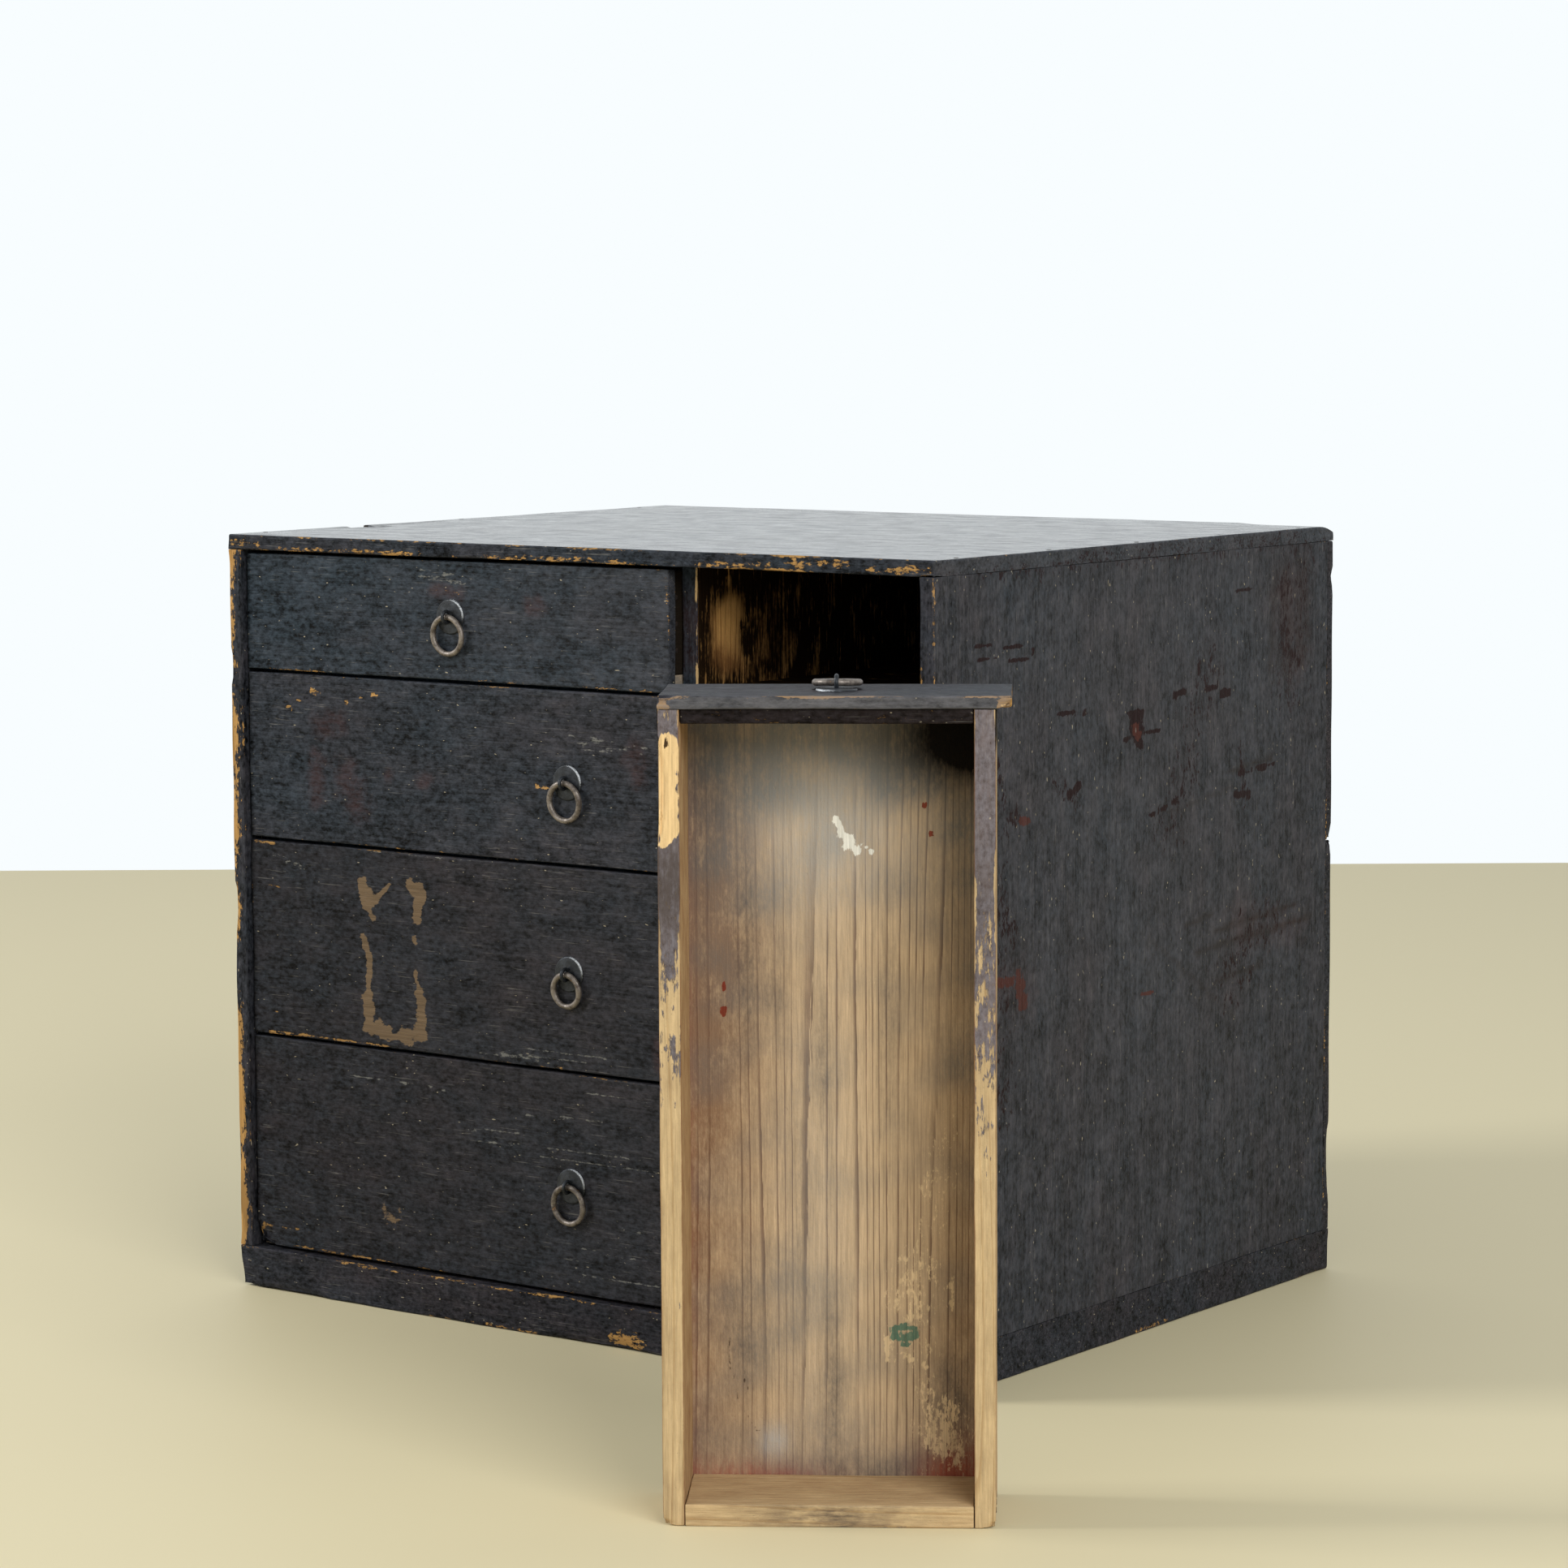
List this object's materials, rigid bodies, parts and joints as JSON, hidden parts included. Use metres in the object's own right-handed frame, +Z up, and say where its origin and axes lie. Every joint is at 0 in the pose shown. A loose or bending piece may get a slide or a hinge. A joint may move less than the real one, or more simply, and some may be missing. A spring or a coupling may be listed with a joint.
{
  "type": "tabletop chest of drawers",
  "caption": "Low black-painted wooden chest of drawers with iron ring pulls. Its small drawer is out of the bay and stands on end beside the case.",
  "frame": {"origin": "on the floor, under the middle of the case, at the middle of the base board's underside", "axes": "+X to the right facing the drawers, +Y to the back, +Z up"},
  "size_m": [0.6034, 0.6163, 0.4],
  "materials": {
    "painted_wood": "worn satin black paint",
    "inside_wood": "darkened bare softwood",
    "drawer_wood": "aged bare softwood",
    "peg_wood": "aged bare hardwood",
    "iron": "dark wrought iron with light rust"
  },
  "bodies": {
    "case": {"top_panel": "painted_wood", "left_side": "painted_wood", "right_side": "painted_wood", "base_board": "painted_wood", "lower_back_board": "painted_wood", "upper_back_board": "painted_wood", "lower_shelf": "inside_wood", "middle_shelf": "inside_wood", "upper_shelf": "inside_wood", "divider": "inside_wood", "case_pegs": "peg_wood"},
    "bottom_drawer": {"bottom_drawer_front": "painted_wood", "bottom_drawer_left_side": "drawer_wood", "bottom_drawer_right_side": "drawer_wood", "bottom_drawer_back": "drawer_wood", "bottom_drawer_bottom": "drawer_wood", "bottom_drawer_pegs": "peg_wood", "bottom_drawer_rosette": "iron", "bottom_drawer_eye": "iron"},
    "bottom_drawer_ring_body": {"bottom_drawer_ring": "iron"},
    "third_drawer": {"third_drawer_front": "painted_wood", "third_drawer_left_side": "drawer_wood", "third_drawer_right_side": "drawer_wood", "third_drawer_back": "drawer_wood", "third_drawer_bottom": "drawer_wood", "third_drawer_pegs": "peg_wood", "third_drawer_rosette": "iron", "third_drawer_eye": "iron"},
    "third_drawer_ring_body": {"third_drawer_ring": "iron"},
    "second_drawer": {"second_drawer_front": "painted_wood", "second_drawer_left_side": "drawer_wood", "second_drawer_right_side": "drawer_wood", "second_drawer_back": "drawer_wood", "second_drawer_bottom": "drawer_wood", "second_drawer_pegs": "peg_wood", "second_drawer_rosette": "iron", "second_drawer_eye": "iron"},
    "second_drawer_ring_body": {"second_drawer_ring": "iron"},
    "upper_drawer": {"upper_drawer_front": "painted_wood", "upper_drawer_left_side": "drawer_wood", "upper_drawer_right_side": "drawer_wood", "upper_drawer_back": "drawer_wood", "upper_drawer_bottom": "drawer_wood", "upper_drawer_pegs": "peg_wood", "upper_drawer_rosette": "iron", "upper_drawer_eye": "iron"},
    "upper_drawer_ring_body": {"upper_drawer_ring": "iron"},
    "small_drawer": {"small_drawer_front": "painted_wood", "small_drawer_left_side": "drawer_wood", "small_drawer_right_side": "drawer_wood", "small_drawer_back": "drawer_wood", "small_drawer_bottom": "drawer_wood", "small_drawer_pegs": "peg_wood", "small_drawer_rosette": "iron", "small_drawer_eye": "iron"},
    "small_drawer_ring_body": {"small_drawer_ring": "iron"}
  },
  "joints": [
    {"name": "bottom_drawer_slide", "type": "slide", "parent": "case", "child": "bottom_drawer", "axis": [0, -1, 0], "range_m": [0, 0.3]},
    {"name": "bottom_drawer_ring_swing", "type": "hinge", "parent": "bottom_drawer", "child": "bottom_drawer_ring_body", "pos_m": [0, -0.1847, 0.0784], "axis": [-1, 0, 0], "range_deg": [0, 187]},
    {"name": "third_drawer_slide", "type": "slide", "parent": "case", "child": "third_drawer", "axis": [0, -1, 0], "range_m": [0, 0.3]},
    {"name": "third_drawer_ring_swing", "type": "hinge", "parent": "third_drawer", "child": "third_drawer_ring_body", "pos_m": [0, -0.1847, 0.186], "axis": [-1, 0, 0], "range_deg": [0, 187]},
    {"name": "second_drawer_slide", "type": "slide", "parent": "case", "child": "second_drawer", "axis": [0, -1, 0], "range_m": [0, 0.3]},
    {"name": "second_drawer_ring_swing", "type": "hinge", "parent": "second_drawer", "child": "second_drawer_ring_body", "pos_m": [0, -0.1847, 0.28215], "axis": [-1, 0, 0], "range_deg": [0, 187]},
    {"name": "upper_drawer_slide", "type": "slide", "parent": "case", "child": "upper_drawer", "axis": [0, -1, 0], "range_m": [0, 0.3]},
    {"name": "upper_drawer_ring_swing", "type": "hinge", "parent": "upper_drawer", "child": "upper_drawer_ring_body", "pos_m": [-0.07535, -0.1847, 0.36205], "axis": [-1, 0, 0], "range_deg": [0, 187]},
    {"name": "small_drawer_lift", "type": "slide", "parent": "case", "child": "small_drawer", "axis": [0, 0, 1], "range_m": [0, 0.42]},
    {"name": "small_drawer_ring_swing", "type": "hinge", "parent": "small_drawer", "child": "small_drawer_ring_body", "pos_m": [0.30061, -0.36633, 0.3597], "axis": [0.832, 0.5548, 0], "range_deg": [0, 187]}
  ]
}
